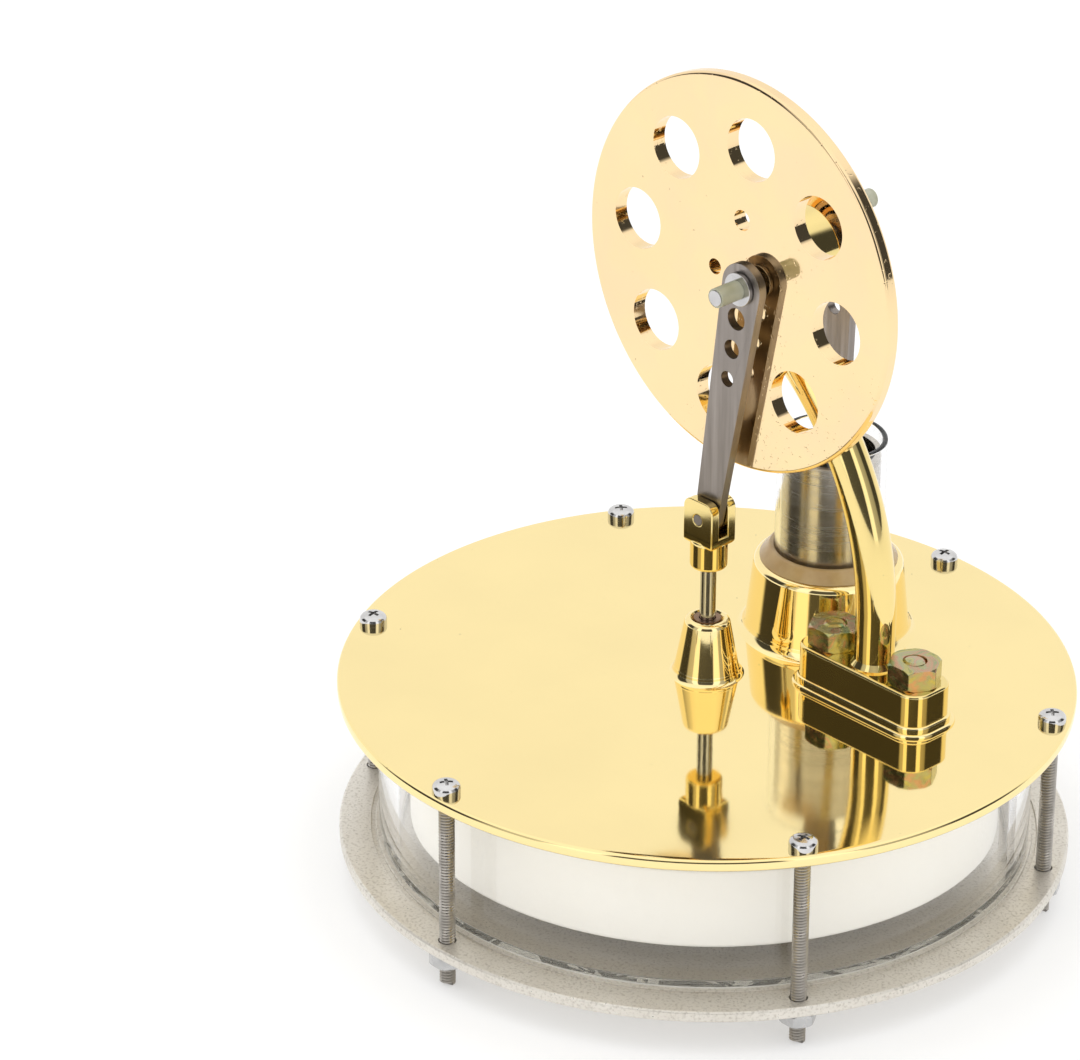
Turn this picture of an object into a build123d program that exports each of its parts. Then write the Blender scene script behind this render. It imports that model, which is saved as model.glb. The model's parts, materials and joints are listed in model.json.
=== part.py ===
from build123d import *
from math import asin, atan2, cos, degrees, radians, sin, sqrt
import os

os.makedirs("parts", exist_ok=True)

# A low-temperature-difference stirling engine on six screw feet, in millimetres.
# +Z is up, and the origin is the middle of the feet, under the displacer rod, where the screws end.
# The crankshaft lies along Y: the flywheel and the displacer linkage are at the front (-Y),
# and the crank disc and the power piston are at the back.
# At rest the displacer is at mid stroke and the piston is at the top of its stroke.

# ---- chamber: two plates held apart by a clear ring ----
PLATE_RADIUS = 46.0
BASE_PLATE_THICKNESS = 1.5
TOP_PLATE_THICKNESS = 1.5
PLATE_EDGE_ROUND = 0.45
BASE_EDGE_CHAMFER = 0.225
FOOT_HEIGHT = 4.6
GASKET_THICKNESS = 0.3
RING_HEIGHT = 18.6
RING_TO_SCREW_GAP = 1.7
RING_WALL = 2.5
GASKET_INSET = 0.3
GROOVE_WIDTH = 0.6
GROOVE_DEPTH = 0.3
GROOVE_GAP = 0.4

# ---- six chamber screws, whose ends are the feet ----
SCREW_COUNT = 6
SCREW_EDGE_DISTANCE = 2.3
SCREW_START_ANGLE = 30.0
SCREW_RADIUS = 1.0
SCREW_END_RADIUS = 0.8
SCREW_HOLE_CLEARANCE = 0.1
SCREW_HEAD_RADIUS = 1.75
SCREW_HEAD_HEIGHT = 1.4
SCREW_HEAD_ROUND = 0.6
RECESS_LENGTH = 2.0
RECESS_WIDTH = 0.4
RECESS_DEPTH = 0.6
SCREW_HEAD_TURN = 25.0
NUT_FLATS = 4.0
NUT_HEIGHT = 1.6
NUT_CORNER_CUT_SHARE = 0.125

# ---- displacer and its gland ----
ROD_RADIUS = 1.0
RUNNING_CLEARANCE = 0.06
BUSH_WALL = 0.65
GLAND_BASE_RADIUS = 4.1
GLAND_TOP_RADIUS = 2.9
GLAND_HEIGHT = 7.7
GLAND_TOP_ROUND = 0.6
GLAND_FLARE_RADIUS = 4.9
GLAND_FLARE_HEIGHT = 0.6
DISPLACER_SIDE_GAP = 1.5
DISPLACER_FLOOR_CLEARANCE = 0.55
DISPLACER_ROOF_CLEARANCE = 1.15
DISPLACER_EDGE_ROUND = 0.5
HUB_WASHER_RADIUS = 4.0
HUB_WASHER_THICKNESS = 0.4
HUB_POCKET_RADIUS = 3.2
HUB_POCKET_DEPTH = 1.6
HUB_NUT_FLATS = 4.0
HUB_NUT_HEIGHT = 1.2

# ---- crank ----
CRANK_X = 1.7
CRANK_HEIGHT_ABOVE_TOP_PLATE = 54.0
DISPLACER_CRANK_RADIUS = 3.25
PISTON_CRANK_RADIUS = 3.2
SHAFT_RADIUS = 1.5
SHAFT_END_RADIUS = 1.3
CRANK_PIN_RADIUS = 1.0
FACE_GAP = 0.1

# ---- flywheel ----
FLYWHEEL_RADIUS = 25.0
FLYWHEEL_THICKNESS = 1.9
FLYWHEEL_EDGE_ROUND = 0.3
LIGHTENING_COUNT = 8
LIGHTENING_CENTRE_TO_RIM = 8.2
LIGHTENING_RADIUS = 3.9
LIGHTENING_ANGLE = 7.2
SPARE_HOLE_RADIUS = 1.3
SPARE_HOLE_CIRCLE_RADIUS = 7.4
INNER_HOLE_RADIUS = 1.0
INNER_HOLE_CIRCLE_RADIUS = 3.4
FRONT_SPACER_RADIUS = 2.2
FLYWHEEL_BEHIND_WASHER = 0.5
BARREL_BEHIND_FLYWHEEL = 1.5

# ---- crank disc ----
CRANK_DISC_RADIUS = 7.4
CRANK_DISC_THICKNESS = 1.8
REAR_SPACER_RADIUS = 2.0
REAR_SPACER_GAP = 2.3

# ---- bearings: a shaft bore, an outer race and a ball set between them ----
BEARING_RADIUS = 4.5
BEARING_WIDTH = 3.0
BEARING_INSET = 0.2
INNER_RACE_WALL = 1.15
OUTER_RACE_WALL = 0.65
TRACK_DEPTH = 0.15
BALL_COUNT = 7
BALL_CLEARANCE = 0.03
FIRST_BALL_ANGLE = 90.0
CAGE_THICKNESS = 0.5
CAGE_SIDE_WALL = 0.35

# ---- column ----
BARREL_WALL = 0.9
BARREL_LENGTH = 9.4
BARREL_EDGE_ROUND = 0.4
BEARING_STOP_STEP = 0.6
COLUMN_RADIUS = 2.5
FOOT_MIDDLE_TO_BOSS = 7.0
COLUMN_STRAIGHT = 5.8
COLUMN_TOP_BEND_RADIUS = 9.6
COLUMN_BARREL_SINK = 2.2
FOOT_LENGTH = 20.8
FOOT_WIDTH = 7.6
FOOT_THICKNESS = 4.2
FOOT_CORNER_RADIUS = 2.6
FOOT_EDGE_ROUND = 0.4
FOOT_COLLAR_RADIUS = 3.0
FOOT_COLLAR_HEIGHT = 0.7
PAD_HEIGHT = 1.2
PAD_MARGIN = 0.9
PAD_EDGE_CHAMFER = 0.6
STUD_RADIUS = 1.5
STUD_SPACING = 13.4
STUD_PROUD = 0.3
STUD_NUT_FLATS = 6.0
STUD_NUT_HEIGHT = 2.8

# ---- power cylinder and piston ----
PISTON_OFFSET_BEHIND_DISC = 0.55
TUBE_BORE_RADIUS = 6.2
TUBE_WALL = 0.7
TUBE_LENGTH = 25.5
TUBE_EDGE_ROUND = 0.25
TUBE_SEAT_DEPTH = 8.8
BOSS_HEIGHT = 10.0
BOSS_TOP_WALL = 2.6
BOSS_BASE_SPREAD = 0.9
BOSS_TOP_ROUND = 0.4
TUBE_LEDGE = 1.2
GLUE_BASE_WIDTH = 1.9
GLUE_TOP_WIDTH = 0.6
GLUE_HEIGHT = 1.6
PISTON_CLEARANCE = 0.05
PISTON_WALL = 0.8
PISTON_LENGTH = 15.4
PISTON_FLOOR = 1.2
PISTON_TOP_BELOW_TUBE = 1.7
WRIST_PIN_RADIUS = 0.9
WRIST_PIN_BELOW_TOP = 8.4
WRIST_PIN_INSET = 0.15

# ---- connecting rods ----
CONROD_THICKNESS = 1.2
BIG_END_RADIUS = 3.1
DISPLACER_SMALL_END_RADIUS = 1.9
PISTON_SMALL_END_RADIUS = 1.9
CONROD_HOLE_RADII = (1.4, 1.2, 1.0)
CONROD_FIRST_HOLE = 4.3
CONROD_HOLE_STEP = 4.2
WASHER_RADIUS = 2.1
DISPLACER_WASHER_THICKNESS = 0.55
PISTON_INNER_WASHER_THICKNESS = 0.3
PISTON_OUTER_WASHER_THICKNESS = 0.5
SLEEVE_RADIUS = 1.22
DISPLACER_SLEEVE_LENGTH = 3.6
PISTON_SLEEVE_LENGTH = 3.0
PISTON_BARE_PIN = 1.2
PIN_END_PROUD = 0.1

# ---- clevis ----
CLEVIS_PIN_ABOVE_TOP_PLATE = 21.8
CLEVIS_WIDTH = 4.9
CLEVIS_DEPTH = 4.2
CLEVIS_ABOVE_PIN = 2.6
CLEVIS_BELOW_PIN = 3.2
CLEVIS_SLOT_CLEARANCE = 0.15
CLEVIS_SLOT_BELOW_PIN = 2.2
CLEVIS_EDGE_CHAMFER = 0.7
CLEVIS_PIN_RADIUS = 0.7
COLLAR_RADIUS = 2.35
COLLAR_HEIGHT = 3.7
COLLAR_EDGE_ROUND = 0.5
ROD_IN_CLEVIS = 3.0

# ---- radii worked out from the sizes above ----
SCREW_CIRCLE_RADIUS = PLATE_RADIUS - SCREW_EDGE_DISTANCE
RING_OUTER_RADIUS = SCREW_CIRCLE_RADIUS - SCREW_RADIUS - RING_TO_SCREW_GAP
RING_INNER_RADIUS = RING_OUTER_RADIUS - RING_WALL
DISPLACER_RADIUS = RING_INNER_RADIUS - DISPLACER_SIDE_GAP
BUSH_RADIUS = ROD_RADIUS + RUNNING_CLEARANCE + BUSH_WALL
LIGHTENING_CIRCLE_RADIUS = FLYWHEEL_RADIUS - LIGHTENING_CENTRE_TO_RIM
INNER_RACE_RADIUS = SHAFT_RADIUS + INNER_RACE_WALL
OUTER_RACE_RADIUS = BEARING_RADIUS - OUTER_RACE_WALL
BALL_PITCH_RADIUS = (INNER_RACE_RADIUS + OUTER_RACE_RADIUS) / 2
BALL_RADIUS = (OUTER_RACE_RADIUS - INNER_RACE_RADIUS) / 2 + TRACK_DEPTH
CAGE_WIDTH = 2 * (BALL_RADIUS + CAGE_SIDE_WALL)
BARREL_RADIUS = BEARING_RADIUS + BARREL_WALL
BEARING_STOP_RADIUS = BEARING_RADIUS - BEARING_STOP_STEP
TUBE_RADIUS = TUBE_BORE_RADIUS + TUBE_WALL
PORT_RADIUS = TUBE_BORE_RADIUS - TUBE_LEDGE
BOSS_TOP_RADIUS = TUBE_RADIUS + BOSS_TOP_WALL
BOSS_BASE_RADIUS = BOSS_TOP_RADIUS + BOSS_BASE_SPREAD
COLUMN_FOOT_X = CRANK_X + BOSS_BASE_RADIUS + FOOT_MIDDLE_TO_BOSS
GLUE_BASE_RADIUS = TUBE_RADIUS + GLUE_BASE_WIDTH
GLUE_TOP_RADIUS = TUBE_RADIUS + GLUE_TOP_WIDTH

# ---- heights worked out from the sizes above ----
BASE_TOP_Z = FOOT_HEIGHT + BASE_PLATE_THICKNESS
RING_Z = BASE_TOP_Z + GASKET_THICKNESS
RING_TOP_Z = RING_Z + RING_HEIGHT
TOP_PLATE_Z = RING_TOP_Z + GASKET_THICKNESS
DECK_Z = TOP_PLATE_Z + TOP_PLATE_THICKNESS
CRANK_Z = DECK_Z + CRANK_HEIGHT_ABOVE_TOP_PLATE
CLEVIS_PIN_Z = DECK_Z + CLEVIS_PIN_ABOVE_TOP_PLATE
DISPLACER_Z = BASE_TOP_Z + DISPLACER_FLOOR_CLEARANCE + DISPLACER_CRANK_RADIUS
DISPLACER_TOP_Z = TOP_PLATE_Z - DISPLACER_CRANK_RADIUS - DISPLACER_ROOF_CLEARANCE
BOSS_TOP_Z = DECK_Z + BOSS_HEIGHT
TUBE_Z = BOSS_TOP_Z - TUBE_SEAT_DEPTH
PISTON_TOP_Z = TUBE_Z + TUBE_LENGTH - PISTON_TOP_BELOW_TUBE
WRIST_PIN_Z = PISTON_TOP_Z - WRIST_PIN_BELOW_TOP
PAD_TOP_Z = DECK_Z + PAD_HEIGHT
FOOT_TOP_Z = PAD_TOP_Z + FOOT_THICKNESS
NUT_Z = FOOT_HEIGHT - NUT_HEIGHT

# ---- places along the crankshaft, from the front to the back ----
HALF_ROD = CONROD_THICKNESS / 2
FRONT_WASHER_Y = HALF_ROD + FACE_GAP
FLYWHEEL_Y = FRONT_WASHER_Y + DISPLACER_WASHER_THICKNESS + FLYWHEEL_BEHIND_WASHER
FLYWHEEL_BACK_Y = FLYWHEEL_Y + FLYWHEEL_THICKNESS
BARREL_Y = FLYWHEEL_BACK_Y + BARREL_BEHIND_FLYWHEEL
BARREL_BACK_Y = BARREL_Y + BARREL_LENGTH
COLUMN_Y = (BARREL_Y + BARREL_BACK_Y) / 2
FRONT_BEARING_Y = BARREL_Y + BEARING_INSET
REAR_BEARING_Y = BARREL_BACK_Y - BEARING_INSET - BEARING_WIDTH
DISC_Y = BARREL_BACK_Y + REAR_SPACER_GAP
DISC_BACK_Y = DISC_Y + CRANK_DISC_THICKNESS
PISTON_Y = DISC_BACK_Y + PISTON_OFFSET_BEHIND_DISC + HALF_ROD
DISPLACER_PIN_X = CRANK_X + DISPLACER_CRANK_RADIUS
PISTON_PIN_Z = CRANK_Z + PISTON_CRANK_RADIUS


def upright(radius, bottom, top, x=0.0, y=0.0):
    """A cylinder standing between two heights."""
    return Pos(x, y, (bottom + top) / 2) * Cylinder(radius, top - bottom)


def lying(radius, front, back, x, z):
    """A cylinder along Y between two places."""
    return Pos(x, (front + back) / 2, z) * Rot(90, 0, 0) * Cylinder(radius, back - front)


def upright_tube(outer, inner, bottom, top, x=0.0, y=0.0):
    return upright(outer, bottom, top, x, y) - upright(inner, bottom, top, x, y)


def lying_tube(outer, inner, front, back, x, z):
    return lying(outer, front, back, x, z) - lying(inner, front, back, x, z)


def upright_cone(base_radius, top_radius, bottom, height, x=0.0, y=0.0):
    return Pos(x, y, bottom + height / 2) * Cone(base_radius, top_radius, height)


def hex_nut(flats, bore, bottom, height, x, y):
    """A hexagonal nut with its corners turned down at both faces."""
    corner_radius = flats / sqrt(3)
    body = extrude(RegularPolygon(corner_radius, 6), height)
    turned = chamfer(Cylinder(corner_radius, height).edges().filter_by(GeomType.CIRCLE), height * NUT_CORNER_CUT_SHARE)
    body = body & (Pos(0, 0, height / 2) * turned)
    return Pos(x, y, bottom) * (body - Pos(0, 0, height / 2) * Cylinder(bore, height))


def circle_places(count, radius, start_angle):
    """Evenly spaced places on a circle about Z."""
    for index in range(count):
        angle = radians(start_angle + 360 * index / count)
        yield radius * cos(angle), radius * sin(angle)


def crank_places(count, radius, start_angle):
    """Places on a circle about the crankshaft; the angle runs from the top towards +X."""
    for index in range(count):
        angle = radians(start_angle + 360 * index / count)
        yield CRANK_X + radius * sin(angle), CRANK_Z + radius * cos(angle)


def write(node, shape):
    shape.label = node
    export_step(shape, os.path.join("parts", node + ".step"))


def chamber():
    """The two plates, the clear ring between them, and its gaskets."""
    screw_hole = SCREW_RADIUS + SCREW_HOLE_CLEARANCE
    base = upright(PLATE_RADIUS, FOOT_HEIGHT, BASE_TOP_Z)
    base = chamfer(base.edges().filter_by(GeomType.CIRCLE), BASE_EDGE_CHAMFER)
    groove_inner = RING_OUTER_RADIUS + GROOVE_GAP
    base -= upright_tube(groove_inner + GROOVE_WIDTH, groove_inner, BASE_TOP_Z - GROOVE_DEPTH, BASE_TOP_Z)
    for x, y in circle_places(SCREW_COUNT, SCREW_CIRCLE_RADIUS, SCREW_START_ANGLE):
        base -= upright(screw_hole, FOOT_HEIGHT, BASE_TOP_Z, x, y)
    write("base_plate", base)

    write("acrylic_ring", upright_tube(RING_OUTER_RADIUS, RING_INNER_RADIUS, RING_Z, RING_TOP_Z))
    gasket_outer = RING_OUTER_RADIUS - GASKET_INSET
    gasket_inner = RING_INNER_RADIUS + GASKET_INSET
    write("lower_gasket", upright_tube(gasket_outer, gasket_inner, BASE_TOP_Z, RING_Z))
    write("upper_gasket", upright_tube(gasket_outer, gasket_inner, RING_TOP_Z, TOP_PLATE_Z))

    top = upright(PLATE_RADIUS, TOP_PLATE_Z, DECK_Z)
    top = fillet(top.edges().filter_by(GeomType.CIRCLE), PLATE_EDGE_ROUND)
    boss = upright_cone(BOSS_BASE_RADIUS, BOSS_TOP_RADIUS, DECK_Z, BOSS_HEIGHT, CRANK_X, PISTON_Y)
    top += fillet(boss.edges().group_by(Axis.Z)[-1], BOSS_TOP_ROUND)
    gland = upright_cone(GLAND_BASE_RADIUS, GLAND_TOP_RADIUS, DECK_Z, GLAND_HEIGHT)
    top += fillet(gland.edges().group_by(Axis.Z)[-1], GLAND_TOP_ROUND)
    top += upright_cone(GLAND_FLARE_RADIUS, GLAND_BASE_RADIUS, DECK_Z, GLAND_FLARE_HEIGHT)
    top += foot_pad()
    top -= upright(TUBE_RADIUS, TUBE_Z, BOSS_TOP_Z, CRANK_X, PISTON_Y)
    top -= upright(PORT_RADIUS, TOP_PLATE_Z, TUBE_Z, CRANK_X, PISTON_Y)
    top -= upright(BUSH_RADIUS, TOP_PLATE_Z, DECK_Z + GLAND_HEIGHT)
    for x, y in circle_places(SCREW_COUNT, SCREW_CIRCLE_RADIUS, SCREW_START_ANGLE):
        top -= upright(screw_hole, TOP_PLATE_Z, DECK_Z, x, y)
    for x in stud_places():
        top -= upright(STUD_RADIUS, TOP_PLATE_Z, PAD_TOP_Z, x, COLUMN_Y)
    write("top_plate", top)
    write("gland_bush", upright_tube(BUSH_RADIUS, ROD_RADIUS + RUNNING_CLEARANCE, TOP_PLATE_Z,
                                     DECK_Z + GLAND_HEIGHT))


def foot_pad():
    """The raised pad under the column, wider at the plate than at its top."""
    outline = RectangleRounded(FOOT_LENGTH + 2 * PAD_MARGIN, FOOT_WIDTH + 2 * PAD_MARGIN,
                               FOOT_CORNER_RADIUS + PAD_MARGIN)
    pad = extrude(outline, PAD_HEIGHT)
    pad = chamfer(pad.edges().group_by(Axis.Z)[-1], PAD_EDGE_CHAMFER)
    return Pos(COLUMN_FOOT_X, COLUMN_Y, DECK_Z) * pad


def chamber_screws():
    """Six pan-head screws with cross recesses, and their nuts under the base plate."""
    places = circle_places(SCREW_COUNT, SCREW_CIRCLE_RADIUS, SCREW_START_ANGLE)
    for number, (x, y) in enumerate(places, start=1):
        head = Cylinder(SCREW_HEAD_RADIUS, SCREW_HEAD_HEIGHT)
        head = fillet(head.edges().group_by(Axis.Z)[-1], SCREW_HEAD_ROUND)
        recess_z = (SCREW_HEAD_HEIGHT - RECESS_DEPTH) / 2
        head -= Pos(0, 0, recess_z) * Box(RECESS_LENGTH, RECESS_WIDTH, RECESS_DEPTH)
        head -= Pos(0, 0, recess_z) * Box(RECESS_WIDTH, RECESS_LENGTH, RECESS_DEPTH)
        turned_head = Pos(x, y, DECK_Z + SCREW_HEAD_HEIGHT / 2) * Rot(0, 0, number * SCREW_HEAD_TURN) * head
        shank = upright(SCREW_RADIUS, NUT_Z, DECK_Z, x, y) + upright(SCREW_END_RADIUS, 0, NUT_Z, x, y)
        write(f"chamber_screw_{number}", shank + turned_head)
        nut = hex_nut(NUT_FLATS, SCREW_RADIUS, NUT_Z, NUT_HEIGHT, x, y)
        write(f"chamber_nut_{number}", nut)


def stud_places():
    return COLUMN_FOOT_X - STUD_SPACING / 2, COLUMN_FOOT_X + STUD_SPACING / 2


def column():
    """The foot, the S-shaped bar and the bearing barrel, in one piece."""
    foot = extrude(RectangleRounded(FOOT_LENGTH, FOOT_WIDTH, FOOT_CORNER_RADIUS), FOOT_THICKNESS)
    foot = fillet(foot.edges().group_by(Axis.Z)[-1], FOOT_EDGE_ROUND)
    foot = Pos(COLUMN_FOOT_X, COLUMN_Y, PAD_TOP_Z) * foot
    bend_start_z = FOOT_TOP_Z + COLUMN_STRAIGHT
    bend_end_z = CRANK_Z - BARREL_RADIUS
    sideways = COLUMN_FOOT_X - CRANK_X
    rise = bend_end_z - bend_start_z
    lean = 2 * atan2(sideways, rise)
    bend_sum = rise / sin(lean)
    lower_bend = bend_sum - COLUMN_TOP_BEND_RADIUS
    start = Vector(COLUMN_FOOT_X, COLUMN_Y, FOOT_TOP_Z - FOOT_EDGE_ROUND)
    bend_start = Vector(COLUMN_FOOT_X, COLUMN_Y, bend_start_z)

    def on_lower_bend(angle):
        return Vector(COLUMN_FOOT_X - lower_bend * (1 - cos(angle)), COLUMN_Y,
                      bend_start_z + lower_bend * sin(angle))

    def on_upper_bend(angle):
        return Vector(CRANK_X + COLUMN_TOP_BEND_RADIUS * (1 - cos(angle)), COLUMN_Y,
                      bend_end_z - COLUMN_TOP_BEND_RADIUS * sin(angle))

    top = Vector(CRANK_X, COLUMN_Y, bend_end_z)
    path = Wire([
        Line(start, bend_start).edge(),
        ThreePointArc(bend_start, on_lower_bend(lean / 2), on_lower_bend(lean)).edge(),
        ThreePointArc(on_lower_bend(lean), on_upper_bend(lean / 2), top).edge(),
        Line(top, top + Vector(0, 0, COLUMN_BARREL_SINK)).edge(),
    ])
    section = Plane(origin=start, z_dir=(0, 0, 1)) * Circle(COLUMN_RADIUS)
    bar = sweep(section, path=path)
    collar = upright_cone(FOOT_COLLAR_RADIUS, COLUMN_RADIUS, FOOT_TOP_Z, FOOT_COLLAR_HEIGHT,
                          COLUMN_FOOT_X, COLUMN_Y)
    barrel = lying(BARREL_RADIUS, BARREL_Y, BARREL_BACK_Y, CRANK_X, CRANK_Z)
    barrel = fillet(barrel.edges().filter_by(GeomType.CIRCLE), BARREL_EDGE_ROUND)
    shape = foot + bar + collar + barrel
    shape -= lying(BEARING_STOP_RADIUS, BARREL_Y, BARREL_BACK_Y, CRANK_X, CRANK_Z)
    shape -= lying(BEARING_RADIUS, BARREL_Y, FRONT_BEARING_Y + BEARING_WIDTH, CRANK_X, CRANK_Z)
    shape -= lying(BEARING_RADIUS, REAR_BEARING_Y, BARREL_BACK_Y, CRANK_X, CRANK_Z)
    for x in stud_places():
        shape -= upright(STUD_RADIUS, PAD_TOP_Z, FOOT_TOP_Z, x, COLUMN_Y)
    write("column", shape)
    for number, x in enumerate(stud_places(), start=1):
        nut_top = FOOT_TOP_Z + STUD_NUT_HEIGHT
        write(f"column_stud_{number}", upright(STUD_RADIUS, TOP_PLATE_Z, nut_top + STUD_PROUD, x, COLUMN_Y))
        nut = hex_nut(STUD_NUT_FLATS, STUD_RADIUS, FOOT_TOP_Z, STUD_NUT_HEIGHT, x, COLUMN_Y)
        write(f"column_nut_{number}", nut)


def bearing(name, front, first_ball_is_apart):
    """A ball bearing on the crankshaft; the outer race stays, the inner race turns."""
    back = front + BEARING_WIDTH
    middle = front + BEARING_WIDTH / 2
    pitch = BALL_PITCH_RADIUS
    track = Pos(CRANK_X, middle, CRANK_Z) * Rot(90, 0, 0) * Torus(pitch, BALL_RADIUS + BALL_CLEARANCE)
    write(f"{name}_outer_race", lying_tube(BEARING_RADIUS, OUTER_RACE_RADIUS, front, back, CRANK_X,
                                           CRANK_Z) - track)
    write(f"{name}_inner_race", lying_tube(INNER_RACE_RADIUS, SHAFT_RADIUS, front, back, CRANK_X,
                                           CRANK_Z) - track)
    places = list(crank_places(BALL_COUNT, pitch, FIRST_BALL_ANGLE))
    balls = [Pos(x, middle, z) * Sphere(BALL_RADIUS) for x, z in places]
    cage = lying_tube(pitch + CAGE_THICKNESS / 2, pitch - CAGE_THICKNESS / 2,
                      middle - CAGE_WIDTH / 2, middle + CAGE_WIDTH / 2, CRANK_X, CRANK_Z)
    for index in range(BALL_COUNT):
        pocket = Pos(0, 0, pitch) * Cylinder(BALL_RADIUS + BALL_CLEARANCE, 2 * CAGE_THICKNESS)
        cage -= Pos(CRANK_X, middle, CRANK_Z) * Rot(0, FIRST_BALL_ANGLE + 360 * index / BALL_COUNT, 0) * pocket
    write(f"{name}_cage", cage)
    if first_ball_is_apart:
        write(f"{name}_side_ball", balls.pop(0))
    write(f"{name}_balls", Compound(children=balls))


def crank():
    """The shaft, the flywheel, the crank disc and the spacers between them and the bearings."""
    shaft = lying(SHAFT_RADIUS, FLYWHEEL_BACK_Y, DISC_Y, CRANK_X, CRANK_Z)
    shaft += lying(SHAFT_END_RADIUS, FLYWHEEL_Y, DISC_BACK_Y, CRANK_X, CRANK_Z)
    write("crankshaft", shaft)

    wheel = lying(FLYWHEEL_RADIUS, FLYWHEEL_Y, FLYWHEEL_BACK_Y, CRANK_X, CRANK_Z)
    wheel = fillet(wheel.edges().filter_by(GeomType.CIRCLE), FLYWHEEL_EDGE_ROUND)
    holes = [(SHAFT_END_RADIUS, CRANK_X, CRANK_Z)]
    for x, z in crank_places(LIGHTENING_COUNT, LIGHTENING_CIRCLE_RADIUS, LIGHTENING_ANGLE):
        holes.append((LIGHTENING_RADIUS, x, z))
    for x, z in crank_places(1, SPARE_HOLE_CIRCLE_RADIUS, LIGHTENING_ANGLE):
        holes.append((SPARE_HOLE_RADIUS, x, z))
    holes.append((INNER_HOLE_RADIUS, CRANK_X - INNER_HOLE_CIRCLE_RADIUS, CRANK_Z))
    for radius, x, z in holes:
        wheel -= lying(radius, FLYWHEEL_Y, FLYWHEEL_BACK_Y, x, z)
    write("flywheel", wheel)

    disc = lying(CRANK_DISC_RADIUS, DISC_Y, DISC_BACK_Y, CRANK_X, CRANK_Z)
    disc = fillet(disc.edges().filter_by(GeomType.CIRCLE), FLYWHEEL_EDGE_ROUND)
    write("crank_disc", disc - lying(SHAFT_END_RADIUS, DISC_Y, DISC_BACK_Y, CRANK_X, CRANK_Z))
    write("front_spacer", lying_tube(FRONT_SPACER_RADIUS, SHAFT_RADIUS, FLYWHEEL_BACK_Y,
                                     FRONT_BEARING_Y, CRANK_X, CRANK_Z))
    write("rear_spacer", lying_tube(REAR_SPACER_RADIUS, SHAFT_RADIUS, REAR_BEARING_Y + BEARING_WIDTH,
                                    DISC_Y, CRANK_X, CRANK_Z))


def connecting_rod(big_end, small_end, small_radius, small_bore, y):
    """A flat tapered rod between two (x, z) pivots, with three lightening holes below its big end."""
    drop = big_end[1] - small_end[1]
    shift = big_end[0] - small_end[0]
    length = sqrt(drop * drop + shift * shift)
    taper = asin((BIG_END_RADIUS - small_radius) / length)
    big_x = BIG_END_RADIUS * cos(taper)
    big_y = -BIG_END_RADIUS * sin(taper)
    small_x = small_radius * cos(taper)
    small_y = -length - small_radius * sin(taper)
    outline = Circle(BIG_END_RADIUS) + Pos(0, -length) * Circle(small_radius)
    outline += make_face(Polyline((big_x, big_y), (small_x, small_y), (-small_x, small_y),
                                  (-big_x, big_y), close=True))
    outline -= Circle(CRANK_PIN_RADIUS + RUNNING_CLEARANCE)
    outline -= Pos(0, -length) * Circle(small_bore)
    for index, radius in enumerate(CONROD_HOLE_RADII):
        outline -= Pos(0, -CONROD_FIRST_HOLE - index * CONROD_HOLE_STEP) * Circle(radius)
    rod = extrude(outline, HALF_ROD, both=True)
    lean = degrees(atan2(shift, drop))
    return Pos(big_end[0], y, big_end[1]) * Rot(0, lean, 0) * Rot(90, 0, 0) * rod


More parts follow.
